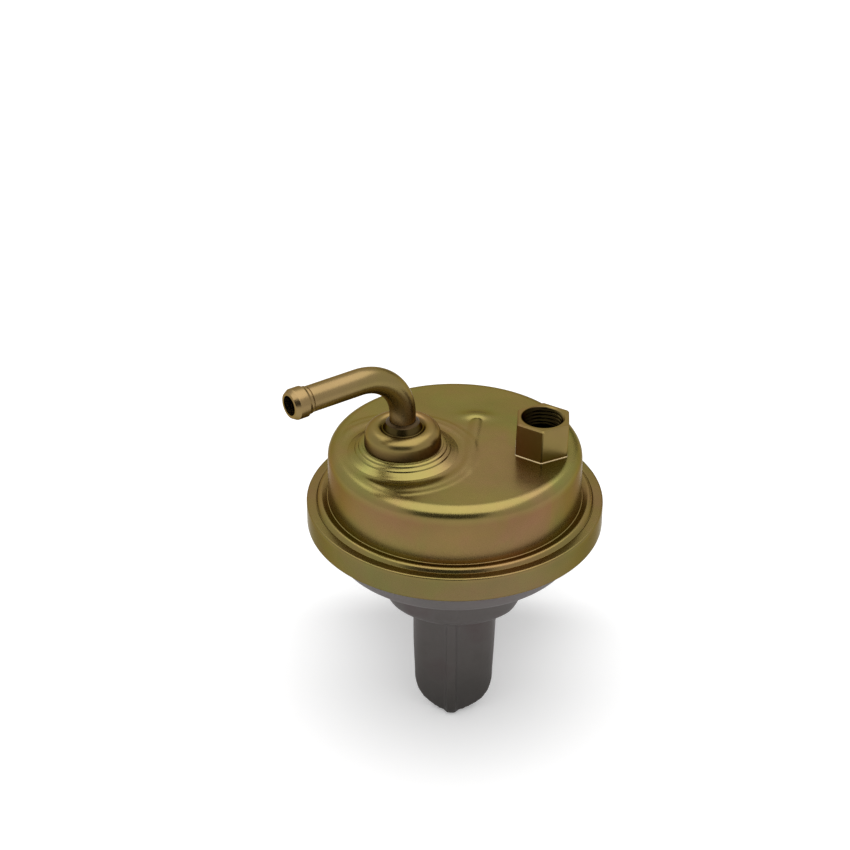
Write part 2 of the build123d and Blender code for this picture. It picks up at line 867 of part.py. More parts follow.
# Divider between the inlet and outlet chambers, under the cover's ridge
with BuildPart() as chamber_divider:
    with BuildSketch(level(plate_top_z)):
        with Locations(ridge_place):
            Rectangle(divider_t, 2 * cover_wall_r, rotation=ridge_angle - 90)
        Circle(dish_r - 2.4, mode=Mode.INTERSECT)
    extrude(amount=cover_inside_z - plate_top_z)
    with BuildSketch(level(plate_top_z)):
        with Locations(ridge_place):
            Rectangle(divider_t + 3.2, 2 * cover_wall_r, rotation=ridge_angle - 90)
        Circle(dish_r - 2.4, mode=Mode.INTERSECT)
    extrude(amount=1.0)
finish(chamber_divider, "chamber_divider")


def valve_seat(x, y, opens):
    """A perforated seat pressed into the plate, its flange behind the disc."""
    back_z = valve_plate_z if opens > 0 else plate_top_z
    with BuildPart() as seat:
        with BuildSketch(level(valve_plate_z)):
            with Locations((x, y)):
                Circle(seat_r)
        extrude(amount=plate_t)
        with BuildSketch(level(back_z)):
            with Locations((x, y)):
                Circle(seat_flange_r)
        extrude(amount=-opens * seat_flange_t)
        with BuildSketch(level(valve_plate_z - seat_flange_t - 0.1)):
            with Locations((x, y)):
                with PolarLocations(valve_hole_circle_r, 6):
                    Circle(valve_hole_r)
                Circle(valve_stem_r)
        extrude(amount=plate_t + 2 * seat_flange_t + 0.2, mode=Mode.SUBTRACT)
    return seat


def valve_stem(x, y, opens):
    """A rivet through the seat that guides the disc and holds its spring."""
    back_z = valve_plate_z - seat_flange_t if opens > 0 else plate_top_z + seat_flange_t
    face_z = plate_top_z if opens > 0 else valve_plate_z
    end_z = face_z + opens * valve_stem_reach
    with BuildPart() as stem_rivet:
        with BuildSketch(section(x, y)):
            with BuildLine():
                Polyline(
                    (0, back_z - opens * 0.6),
                    (2.0, back_z - opens * 0.6),
                    (2.0, back_z),
                    (valve_stem_r, back_z),
                    (valve_stem_r, end_z - opens * keeper_t),
                    (keeper_r, end_z - opens * keeper_t),
                    (keeper_r, end_z),
                    (0, end_z),
                    close=True,
                )
            make_face()
        revolve(axis=upright_axis(x, y))
    return stem_rivet


def valve_disc(x, y, opens):
    """The flat disc that lies on the seat."""
    face_z = plate_top_z if opens > 0 else valve_plate_z
    with BuildPart() as disc:
        with BuildSketch(level(face_z + opens * disc_gap)):
            with Locations((x, y)):
                Circle(disc_r)
                Circle(valve_stem_r + running_fit, mode=Mode.SUBTRACT)
        extrude(amount=opens * disc_t)
    return disc


def valve_spring(x, y, opens):
    """The light spring between the disc and the stem's head."""
    face_z = plate_top_z if opens > 0 else valve_plate_z
    near_z = face_z + opens * (disc_gap + disc_t + 0.03)
    far_z = face_z + opens * (valve_stem_reach - keeper_t - 0.03)
    foot_z = min(near_z, far_z)
    top_z = max(near_z, far_z)
    return coil_spring(foot_z, top_z, valve_spring_r, valve_wire_r, valve_spring_turns, x, y)


valve_sets = [("inlet", inlet_x, inlet_y, -1), ("outlet", outlet_x, outlet_y, 1)]
for port, valve_x, valve_y, opens in valve_sets:
    finish(valve_seat(valve_x, valve_y, opens), f"{port}_valve_seat")
    finish(valve_stem(valve_x, valve_y, opens), f"{port}_valve_stem")
    finish(valve_disc(valve_x, valve_y, opens), f"{port}_valve_disc")
    finish(valve_spring(valve_x, valve_y, opens), f"{port}_valve_spring")
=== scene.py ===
import bpy
import bmesh
import json
import math
from mathutils import Matrix, Vector

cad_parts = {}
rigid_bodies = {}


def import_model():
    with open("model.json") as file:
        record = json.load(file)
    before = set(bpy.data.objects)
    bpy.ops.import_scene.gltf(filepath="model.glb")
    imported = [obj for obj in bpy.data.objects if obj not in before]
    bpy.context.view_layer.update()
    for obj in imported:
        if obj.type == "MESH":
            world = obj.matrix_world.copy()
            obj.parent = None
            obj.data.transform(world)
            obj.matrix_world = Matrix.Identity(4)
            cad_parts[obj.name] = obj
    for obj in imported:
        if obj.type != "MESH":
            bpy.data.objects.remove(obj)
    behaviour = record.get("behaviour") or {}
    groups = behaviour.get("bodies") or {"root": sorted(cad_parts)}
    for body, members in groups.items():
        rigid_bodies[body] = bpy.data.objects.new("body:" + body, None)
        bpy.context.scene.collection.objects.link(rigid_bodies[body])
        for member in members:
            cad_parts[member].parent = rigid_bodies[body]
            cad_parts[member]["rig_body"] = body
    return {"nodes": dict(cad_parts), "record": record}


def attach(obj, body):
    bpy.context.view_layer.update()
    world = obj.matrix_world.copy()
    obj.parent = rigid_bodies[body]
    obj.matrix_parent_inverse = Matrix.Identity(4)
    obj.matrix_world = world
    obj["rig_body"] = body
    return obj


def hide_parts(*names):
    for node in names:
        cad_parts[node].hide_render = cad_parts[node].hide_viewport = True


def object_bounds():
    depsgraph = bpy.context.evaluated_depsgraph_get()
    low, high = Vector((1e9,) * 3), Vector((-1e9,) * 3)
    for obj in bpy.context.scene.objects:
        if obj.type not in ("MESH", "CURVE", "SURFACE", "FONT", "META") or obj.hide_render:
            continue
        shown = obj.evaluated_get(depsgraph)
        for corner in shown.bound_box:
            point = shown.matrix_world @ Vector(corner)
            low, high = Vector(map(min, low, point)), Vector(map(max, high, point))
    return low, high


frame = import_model()
cad_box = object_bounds()
nodes = frame["nodes"]

# Millimetres to metres, and where the pump's axis and the rim's underside are in the frame
MM = 0.001
AXIS_Y = -50.0
RIM_Z = 34.0

# Sizes in millimetres, with heights from the rim's underside. The driving ones are the part's.
# The pressed and rounded forms, and how far the rim is drawn down, are as the photo shows.
RIM_R = 46.7
RIM_EDGE_R = 0.65
COVER_T = 1.5
COVER_TOP = 26.6
FLANGE_Z = 5.85
LAND_Z = FLANGE_Z + COVER_T
WALL_R = RIM_R - 7.05
WALL_DRAFT = 0.25
CORNER_R = 4.0
BEAD_R = RIM_R - 5.0
BEAD_H = 1.1
LIP_T = 1.2
LIP_INNER_R = RIM_R - 2.6
RIM_DROP = 1.0
PLATEAU_AT = (-16.64, -7.38)
PLATEAU_R = 24.5
PLATEAU_H = 0.34
PLATEAU_EDGES = ((0.55, -1.2, 0.4), (0.45, -3.6, -2.0))  # share, from and to beyond its radius
GROOVE_R = 18.6
GROOVE_HALF = 1.5
GROOVE_DEPTH = 0.22
RIDGE_FROM = (4.5, -19.4)
RIDGE_TO = (6.6, 13.2)
RIDGE_LEFT = 3.2
RIDGE_RIGHT = 2.0
RIDGE_H = 0.8
RIDGE_FRONT_SHARE = 0.2
RIDGE_RISE = (-1.0, 5.0)
RIDGE_FALL = 2.0
SWELL_AT = (6.0, 16.3)
SWELL_HALF = (4.4, 2.4)
SWELL_H = 0.85
INLET = (-15.89, -6.34)
BOSS_TOP_R = 12.6
BOSS_TOP = COVER_TOP + 3.4
BOSS_STEPS = [(0.0, 0.3), (0.35, 0.36), (0.95, 0.62), (1.15, 1.12), (1.5, 1.25), (2.1, 1.6),
              (2.3, 2.02), (3.45, 2.62), (4.3, 3.0)]  # out and down from the boss's top edge
BOSS_RADII = [0.12, 0.1, 0.1, 0.15, 0.12, 0.12, 0.15, 0.12, 0.5, 0.6]
CAP_R = 11.5
CAP_FOOT_R = 11.95
CAP_H = 6.3
CAP_T = 1.4
CAP_SHOULDER = 3.4
CAP_DISH_R = 7.6
CAP_DISH = 1.3
COLLAR_R = 5.0
COLLAR_FOOT_R = 6.15
COLLAR_H = 1.1
TUBE_R = 4.05
TUBE_BORE_R = 3.1
TUBE_BEND_R = 16.1
TUBE_ARM_Z = 56.4
TUBE_ARM_LENGTH = 40.1
TUBE_ARM_ANGLE = 218.1
BEAD_LAND_R = 4.8
BEAD_LAND_L = 3.2
OUTLET = (26.75, -2.1)
HEX_AF = 15.875
HEX_H = 11.2
HEX_LEAN = 0.035
HEX_BEVEL = 0.45
HEX_BEVEL_H = 0.55
HEX_EASE = 0.12
HEX_SEGMENTS = 240
THREAD_R = 5.75
THREAD_CUT = 0.68
THREAD_DEPTH = 8.4
THREAD_PITCH = 1.27
MOUTH_R = THREAD_R + 0.95
RELIEF_R = 5.2
RELIEF_H = 1.8
FLARE_SEAT_H = 1.6
FLARE_HOLE_R = 3.0
SPIGOT_R = 7.1
SPIGOT_H = 2.2
BRAZE_SECTION = [(0.02, 0.0), (0.38, 0.0), (0.33, 0.12), (0.22, 0.22), (0.08, 0.27), (0.02, 0.28)]
BRAZE_EASE = 0.1
BRAZE_FADE = (56.0, 66.0)    # degrees from the front over which the bead grows thin
BRAZE_THINNED = 0.75         # share of its size that it loses there

# Where the casting's stem is, in millimetres under the rim, to either side and to the back
STEM_DOWN = (11.0, 17.0)
STEM_SIDE = (16.0, 22.0)
STEM_BACK = (13.0, 19.0)
# How much wider the photo shows it: both edges out, more to the right, and more at its foot
STEM_EDGES = 0.45
STEM_EDGES_FROM = (2.0, 9.0)
STEM_SPREAD = 0.045
STEM_FOOT_SPREAD = 0.05
STEM_FOOT = (53.0, 64.0)

# Voxel size in millimetres and smoothing steps of the pieces remeshed from CAD nodes
CASTING_SKIN = (0.62, 3)
ARM_SKIN = (0.35, 4)

# The clear film on the plating, and the pale tint of its edge-on reflections
PLATING_COAT = 0.16
PLATING_SHEEN = (0.45, 0.38, 0.25, 1.0)


# Mesh helpers. Shapes are worked out in the pump's millimetres and stored in metres.
def place(x, y, z):
    return (x * MM, (y + AXIS_Y) * MM, (z + RIM_Z) * MM)


def rounded(points, radii, steps=8):
    """A polyline whose inner corners become arcs of the given radii."""
    path = [Vector(points[0])]
    for before, corner, after, radius in zip(points, points[1:], points[2:], radii):
        a, b, c = Vector(before), Vector(corner), Vector(after)
        to_a, to_c = (a - b).normalized(), (c - b).normalized()
        half = to_a.angle(to_c) / 2
        if radius <= 0 or abs(half - math.pi / 2) < 1e-4:
            path.append(b)
            continue
        centre = b + (to_a + to_c).normalized() * (radius / math.sin(half))
        start = b + to_a * (radius / math.tan(half)) - centre
        end = b + to_c * (radius / math.tan(half)) - centre
        turn = start.angle(end)
        for i in range(steps + 1):
            t = i / steps
            blend = (start * math.sin((1 - t) * turn) + end * math.sin(t * turn)) / math.sin(turn)
            path.append(centre + blend)
    path.append(Vector(points[-1]))
    return path


def smooth_step(value, low, high):
    """0 below low, 1 above high and a smooth rise between them."""
    t = min(max((value - low) / (high - low), 0.0), 1.0)
    return t * t * (3 - 2 * t)


def finish_mesh(name, bm, sharp_deg=32.0):
    """Makes an object of the bmesh, smooth but for edges sharper than the angle."""
    bmesh.ops.recalc_face_normals(bm, faces=bm.faces)
    mesh = bpy.data.meshes.new(name)
    bm.to_mesh(mesh)
    bm.free()
    for polygon in mesh.polygons:
        polygon.use_smooth = True
    mesh.set_sharp_from_angle(angle=math.radians(sharp_deg))
    piece = bpy.data.objects.new(name, mesh)
    bpy.context.scene.collection.objects.link(piece)
    return piece


def bridge_loop(bm, rings):
    """Joins rings of equal length into a closed skin, the last ring to the first."""
    for low, high in zip(rings, rings[1:] + rings[:1]):
        for i in range(len(low)):
            j = (i + 1) % len(low)
            bm.faces.new((low[i], low[j], high[j], high[i]))


def lathe_into(bm, profile, centre=(0.0, 0.0), segments=256, closed=True, lift=None):
    """Turns a profile of (radius, height) about an upright axis into a bmesh."""
    rings = []
    for r, z in profile:
        if r < 1e-6:
            rings.append([bm.verts.new(place(centre[0], centre[1], z))])
            continue
        ring = []
        for i in range(segments):
            turn = 2 * math.pi * i / segments
            x, y = centre[0] + r * math.cos(turn), centre[1] + r * math.sin(turn)
            ring.append(bm.verts.new(place(x, y, z + (lift(x, y, r) if lift else 0.0))))
        rings.append(ring)
    pairs = list(zip(rings, rings[1:]))
    if closed:
        pairs.append((rings[-1], rings[0]))
    for low, high in pairs:
        for i in range(segments):
            j = (i + 1) % segments
            if len(low) == 1:
                bm.faces.new((low[0], high[i], high[j]))
            elif len(high) == 1:
                bm.faces.new((low[i], low[j], high[0]))
            else:
                bm.faces.new((low[i], low[j], high[j], high[i]))


def from_node(name, node, voxel, smooth_steps):
    """A cast-looking copy of a CAD node: remeshed finely, with its edges eased."""
    piece = bpy.data.objects.new(name, nodes[node].data.copy())
    piece.data.materials.clear()
    bpy.context.scene.collection.objects.link(piece)
    remesh = piece.modifiers.new("skin", "REMESH")
    remesh.mode = "VOXEL"
    remesh.voxel_size = voxel * MM
    ease = piece.modifiers.new("ease", "SMOOTH")
    ease.factor = 0.5
    ease.iterations = smooth_steps
    depsgraph = bpy.context.evaluated_depsgraph_get()
    mesh = bpy.data.meshes.new_from_object(piece.evaluated_get(depsgraph))
    piece.modifiers.clear()
    piece.data = mesh
    for polygon in mesh.polygons:
        polygon.use_smooth = True
    return piece


# Materials
def new_material(name):
    material = bpy.data.materials.new(name)
    material.use_nodes = True
    tree = material.node_tree
    return material, tree, tree.nodes["Principled BSDF"]


def add_node(tree, kind, **values):
    node = tree.nodes.new(kind)
    for key, value in values.items():
        setattr(node, key, value)
    return node


def noise_node(tree, coords, scale, detail=4.0, roughness=0.5, distortion=0.0):
    tex = add_node(tree, "ShaderNodeTexNoise")
    tex.inputs["Scale"].default_value = scale
    tex.inputs["Detail"].default_value = detail
    tex.inputs["Roughness"].default_value = roughness
    tex.inputs["Distortion"].default_value = distortion
    tree.links.new(coords, tex.inputs["Vector"])
    return tex.outputs["Fac"]


def ramp(tree, fac, stops):
    node = add_node(tree, "ShaderNodeValToRGB")
    elements = node.color_ramp.elements
    while len(elements) < len(stops):
        elements.new(0.5)
    for element, (position, colour) in zip(elements, stops):
        element.position = position
        element.color = (*colour, 1.0)
    tree.links.new(fac, node.inputs["Fac"])
    return node.outputs["Color"]


def mix_colour(tree, factor, a, b, blend="MIX"):
    node = add_node(tree, "ShaderNodeMix", data_type="RGBA", blend_type=blend)
    node.inputs["Factor"].default_value = factor
    tree.links.new(a, node.inputs[6])
    tree.links.new(b, node.inputs[7])
    return node.outputs[2]


def scale_colour(tree, colour, factor):
    node = add_node(tree, "ShaderNodeVectorMath", operation="SCALE")
    tree.links.new(colour, node.inputs[0])
    tree.links.new(factor, node.inputs["Scale"])
    return node.outputs[0]


def map_range(tree, value, low, high, to_low, to_high):
    node = add_node(tree, "ShaderNodeMapRange")
    ends = (("From Min", low), ("From Max", high), ("To Min", to_low), ("To Max", to_high))
    for key, number in ends:
        node.inputs[key].default_value = number
    tree.links.new(value, node.inputs["Value"])
    return node.outputs["Result"]


def bump(tree, bsdf, height, strength, distance):
    node = add_node(tree, "ShaderNodeBump")
    node.inputs["Strength"].default_value = strength
    node.inputs["Distance"].default_value = distance
    tree.links.new(height, node.inputs["Height"])
    tree.links.new(node.outputs["Normal"], bsdf.inputs["Normal"])


def object_coords(tree):
    return add_node(tree, "ShaderNodeTexCoord").outputs["Object"]


def height_ramp(tree, coords, low, high, stops):
    """Colour stops spread over a range of heights, which are given in metres."""
    split = add_node(tree, "ShaderNodeSeparateXYZ")
    tree.links.new(coords, split.inputs[0])
    return ramp(tree, map_range(tree, split.outputs["Z"], low, high, 0.0, 1.0), stops)


def plated_steel(name, gold, pink, green, roughness, tint_and_shade_by_height=None):
    """Yellow chromate over zinc: a soft dark gold with rosy and greenish clouds, and where given, a
    tint and painted shade spread by height.
    """
    material, tree, bsdf = new_material(name)
    bsdf.inputs["Metallic"].default_value = 1.0
    coords = object_coords(tree)
    clouds = noise_node(tree, coords, 26.0, detail=2.0, roughness=0.45, distortion=0.8)
    tint = ramp(tree, clouds, [(0.36, green), (0.5, gold), (0.64, pink)])
    film = noise_node(tree, coords, 110.0, detail=3.0, distortion=1.2)
    warmed = ramp(tree, film, [(0.3, green), (0.5, gold), (0.7, pink)])
    tinted = mix_colour(tree, 0.3, tint, warmed)
    # Multiplies in the colour by height, which carries painted shade on the cover's rim and the
    # drum's lower wall
    if tint_and_shade_by_height:
        low, high, stops = tint_and_shade_by_height
        by_height = height_ramp(tree, coords, (RIM_Z + low) * MM, (RIM_Z + high) * MM, stops)
        tinted = mix_colour(tree, 1.0, tinted, by_height, "MULTIPLY")
    patches = noise_node(tree, coords, 60.0, roughness=0.55, distortion=0.3)
    shade = map_range(tree, patches, 0.3, 0.7, 0.93, 1.06)
    tree.links.new(scale_colour(tree, tinted, shade), bsdf.inputs["Base Color"])
    bsdf.inputs["Specular Tint"].default_value = PLATING_SHEEN
    bsdf.inputs["Coat Weight"].default_value = PLATING_COAT
    bsdf.inputs["Coat Roughness"].default_value = roughness
    grain = noise_node(tree, coords, 900.0, detail=2.0)
    rough = map_range(tree, grain, 0.3, 0.7, roughness - 0.015, roughness + 0.02)
    tree.links.new(rough, bsdf.inputs["Roughness"])
    waves = noise_node(tree, coords, 240.0, detail=2.0)
    bump(tree, bsdf, waves, strength=0.05, distance=0.0001)
    return material


def cast_metal(name, light, dark, warm):
    """Die-cast aluminium left as cast: matte, mottled, fine grained, with painted shade darkening
    it towards its foot.
    """
    material, tree, bsdf = new_material(name)
    bsdf.inputs["Metallic"].default_value = 0.55
    coords = object_coords(tree)
    cloud = noise_node(tree, coords, 60.0, detail=5.0, roughness=0.6)
    colour = ramp(tree, cloud, [(0.35, dark), (0.52, light), (0.7, warm)])
    # Painted shade: the colour is darkened towards the foot, under the cover
    shaded_low = height_ramp(tree, coords, cad_box[0][2], RIM_Z * MM, CASTING_SHADE)
    colour = mix_colour(tree, 1.0, colour, shaded_low, "MULTIPLY")
    tree.links.new(colour, bsdf.inputs["Base Color"])
    grain = noise_node(tree, coords, 1400.0, detail=3.0, roughness=0.6)
    rough = map_range(tree, cloud, 0.3, 0.7, 0.5, 0.62)
    tree.links.new(rough, bsdf.inputs["Roughness"])
    bump(tree, bsdf, grain, strength=0.25, distance=0.00015)
    return material


def plain_metal(name, colour, roughness):
    """Bare metal with fine streaks."""
    material, tree, bsdf = new_material(name)
    bsdf.inputs["Metallic"].default_value = 1.0
    coords = object_coords(tree)
    streak = noise_node(tree, coords, 260.0, roughness=0.6)
    dark = tuple(c * 0.78 for c in colour)
    tree.links.new(ramp(tree, streak, [(0.35, dark), (0.65, colour)]), bsdf.inputs["Base Color"])
    rough = map_range(tree, streak, 0.3, 0.7, roughness - 0.06, roughness + 0.08)
    tree.links.new(rough, bsdf.inputs["Roughness"])
    bump(tree, bsdf, streak, strength=0.08, distance=0.0002)
    return material


def soft_matter(name, colour, roughness):
    """Rubber, fibre or resin with a fine grain."""
    material, tree, bsdf = new_material(name)
    coords = object_coords(tree)
    fine = noise_node(tree, coords, 700.0, detail=3.0, roughness=0.6)
    dark = tuple(c * 0.7 for c in colour)
    tree.links.new(ramp(tree, fine, [(0.3, dark), (0.7, colour)]), bsdf.inputs["Base Color"])
    rough = map_range(tree, fine, 0.3, 0.7, roughness - 0.07, roughness + 0.05)
    tree.links.new(rough, bsdf.inputs["Roughness"])
    bump(tree, bsdf, fine, strength=0.15, distance=0.0001)
    return material


def darken_round(material, centre, dark_r, clear_r, shade):
    """Darkens plating round an upright axis and thins its coat there: painted shade, used in the
    thread's bore and in the drum's dish round the collar.
    """
    tree = material.node_tree
    bsdf = tree.nodes["Principled BSDF"]
    across = add_node(tree, "ShaderNodeVectorMath", operation="MULTIPLY_ADD")
    tree.links.new(object_coords(tree), across.inputs[0])
    across.inputs[1].default_value = (1.0, 1.0, 0.0)
    across.inputs[2].default_value = (-centre[0] * MM, -(centre[1] + AXIS_Y) * MM, 0.0)
    from_axis = add_node(tree, "ShaderNodeVectorMath", operation="LENGTH")
    tree.links.new(across.outputs[0], from_axis.inputs[0])
    away, dark, clear = from_axis.outputs["Value"], dark_r * MM, clear_r * MM
    plating = bsdf.inputs["Base Color"].links[0].from_socket
    wall = map_range(tree, away, dark, clear, shade, 1.0)
    tree.links.new(scale_colour(tree, plating, wall), bsdf.inputs["Base Color"])
    coat = map_range(tree, away, dark, clear, 0.0, PLATING_COAT)
    tree.links.new(coat, bsdf.inputs["Coat Weight"])
    return material


# Tints and painted shade over the plating and the casting: (share of the height, colour factor)
# The cover's stops: painted shade on the rim, a rosy tint on the wall, and a lighter, greener top
# that is painted light with a greenish tint
COVER_TINT_AND_SHADE = [(0.0, (0.78, 0.87, 0.93)), (0.22, (0.78, 0.87, 0.93)), (0.3, (1.0, 1.0, 1.0)),
              (0.5, (0.97, 0.95, 0.98)), (0.8, (0.96, 0.82, 0.95)), (0.95, (1.06, 1.16, 1.13))]
# The drum's stops are painted shade, darker towards its foot
DRUM_SHADE = [(0.0, (0.42, 0.36, 0.34)), (0.3, (0.6, 0.52, 0.5)), (0.62, (1.0, 1.0, 1.0))]
# The tube's stops make it darker towards its foot
TUBE_DARKER_LOW = [(0.0, (0.55, 0.45, 0.45)), (0.55, (0.72, 0.66, 0.7)), (1.0, (1.0, 1.0, 1.0))]
# The casting's stops are painted shade, darker towards its foot under the cover
CASTING_SHADE = [(0.0, (0.42, 0.42, 0.4)), (0.3, (0.66, 0.65, 0.63)),
                (0.62, (0.82, 0.81, 0.8)), (0.85, (1.0, 0.98, 0.98))]

# Plating colours: gold, and its rosy and greenish clouds
COVER_GOLD = ((0.196, 0.136, 0.042), (0.21, 0.124, 0.052), (0.172, 0.147, 0.04))
FITTING_GOLD = ((0.215, 0.14, 0.047), (0.225, 0.128, 0.056), (0.19, 0.144, 0.042))
TUBE_GOLD = ((0.22, 0.155, 0.06), (0.225, 0.148, 0.066), (0.2, 0.15, 0.048))
FORGED_GREY = (0.22, 0.21, 0.2)

# Heights between which each tint and painted shade is spread, and its stops
ON_COVER = (0.0, COVER_TOP, COVER_TINT_AND_SHADE)
ON_DRUM = (BOSS_TOP, BOSS_TOP + CAP_H, DRUM_SHADE)
ON_TUBE = (BOSS_TOP + 5.0, TUBE_ARM_Z - 4.0, TUBE_DARKER_LOW)

gold_cover = plated_steel("gold_cover", *COVER_GOLD, roughness=0.27, tint_and_shade_by_height=ON_COVER)
gold_fittings = plated_steel("gold_fittings", *FITTING_GOLD, roughness=0.3)
gold_drum = plated_steel("gold_drum", *FITTING_GOLD, roughness=0.3, tint_and_shade_by_height=ON_DRUM)
gold_tube = plated_steel("gold_tube", *TUBE_GOLD, roughness=0.28, tint_and_shade_by_height=ON_TUBE)
braze_metal = plain_metal("braze_metal", (0.4, 0.31, 0.17), roughness=0.3)
# Near-black braze: painted shade for the ring in the crease at the tube's foot
braze_in_shade = plain_metal("braze_in_shade", (0.07, 0.045, 0.02), roughness=0.5)
cast_grey = cast_metal("cast_grey", light=(0.12, 0.108, 0.104), dark=(0.1, 0.09, 0.085),
                       warm=(0.118, 0.094, 0.094))


# Pieces that replace CAD nodes
def pressed_lift(x, y, r):
    """Height added to the cover's flat top by its plateau, groove, ridge and swelling."""
    flat_r = WALL_R - CORNER_R
    inside = 1.0 - smooth_step(r, flat_r - 1.5, flat_r + 0.3)
    if inside <= 0.0:
        return 0.0
    from_plateau = math.hypot(x - PLATEAU_AT[0], y - PLATEAU_AT[1])
    lift = 0.0
    for share, inner, outer in PLATEAU_EDGES:
        edge = smooth_step(from_plateau, PLATEAU_R + inner, PLATEAU_R + outer)
        lift += share * PLATEAU_H * (1.0 - edge)
    from_inlet = math.hypot(x - INLET[0], y - INLET[1])
    lift -= GROOVE_DEPTH * math.exp(-((from_inlet - GROOVE_R) / GROOVE_HALF) ** 2)
    start, along = Vector(RIDGE_FROM), Vector(RIDGE_TO) - Vector(RIDGE_FROM)
    from_start = Vector((x, y)) - start
    run = from_start.dot(along.normalized())
    right = from_start.dot(Vector((along.y, -along.x)).normalized())
    if right > 0:
        flank = smooth_step(right, 0.1, RIDGE_RIGHT)
    else:
        flank = smooth_step(-right, 0.2, RIDGE_LEFT)
    length = along.length
    ends = smooth_step(run, *RIDGE_RISE)
    ends *= 1.0 - smooth_step(run, length, length + RIDGE_FALL)
    height = RIDGE_H * (RIDGE_FRONT_SHARE + (1.0 - RIDGE_FRONT_SHARE) * run / length)
    ridge = height * (1.0 - flank) * ends
    across, beyond = (x - SWELL_AT[0]) / SWELL_HALF[0], (y - SWELL_AT[1]) / SWELL_HALF[1]
    swell = SWELL_H * math.exp(-across * across - beyond * beyond)
    return (lift + max(ridge, swell)) * inside


def make_cover():
    """The drawn cover: its outer skin, its inner skin and the stepped boss under the drum."""
    foot_r = WALL_R + WALL_DRAFT
    outside = rounded(
        [(WALL_R - CORNER_R, COVER_TOP), (WALL_R, COVER_TOP), (foot_r, LAND_Z + 0.6),
         (BEAD_R + 1.0, LAND_Z + BEAD_H + 0.45), (BEAD_R + 1.95, LAND_Z - 0.1),
         (BEAD_R + 2.3, LAND_Z), (RIM_R, LAND_Z), (RIM_R, -RIM_DROP), (LIP_INNER_R, -RIM_DROP),
         (LIP_INNER_R, LIP_T)],
        [CORNER_R, 0.3, 1.3, 0.1, 0.3, RIM_EDGE_R, 0.8, 0.2])
    inside = [(RIM_R - COVER_T, LIP_T), (RIM_R - COVER_T, FLANGE_Z), (BEAD_R, FLANGE_Z),
              (foot_r - COVER_T, LAND_Z), (WALL_R - COVER_T, COVER_TOP - CORNER_R),
              (WALL_R - CORNER_R, COVER_TOP - COVER_T), (0.0, COVER_TOP - COVER_T)]
    ring_step = 0.34
    flat_rings = int((WALL_R - CORNER_R) / ring_step)
    top = [(0.0, COVER_TOP)] + [(ring_step * i, COVER_TOP) for i in range(1, flat_rings)]
    bm = bmesh.new()
    lathe_into(bm, top + [tuple(p) for p in outside], segments=448, closed=False, lift=pressed_lift)
    lathe_into(bm, inside, segments=96, closed=False)
    steps = [(BOSS_TOP_R + out, BOSS_TOP - down) for out, down in BOSS_STEPS]
    corners = [(BOSS_TOP_R - 2.0, BOSS_TOP), (BOSS_TOP_R, BOSS_TOP)] + steps
    corners.append((steps[-1][0] + 0.6, COVER_TOP + 0.1))
    boss = rounded(corners, BOSS_RADII, steps=5)
    lathe_into(bm, [tuple(p) for p in boss], centre=INLET, segments=224, closed=False)
    return finish_mesh("cover_skin", bm)


def make_cap():
    """The drum with its rounded shoulder, dished top and conical collar."""
    top = BOSS_TOP + CAP_H
    outside = rounded(
        [(CAP_FOOT_R, BOSS_TOP), (CAP_R, top), (CAP_DISH_R, top), (COLLAR_FOOT_R, top - CAP_DISH),
         (COLLAR_R, top + COLLAR_H), (TUBE_R + 0.5, top + COLLAR_H),
         (TUBE_R + 0.03, top + COLLAR_H - 0.4)],
        [CAP_SHOULDER, 2.2, 0.4, 0.15, 0.2], steps=12)
    inside = rounded(
        [(TUBE_R + 0.03, top - CAP_T), (CAP_R - CAP_T, top - CAP_T), (CAP_R - CAP_T, BOSS_TOP)],
        [CAP_SHOULDER - CAP_T], steps=6)
    bm = bmesh.new()
    profile = [tuple(p) for p in outside + inside]
    lathe_into(bm, profile, centre=INLET, segments=160)
    return finish_mesh("cap_shell", bm)


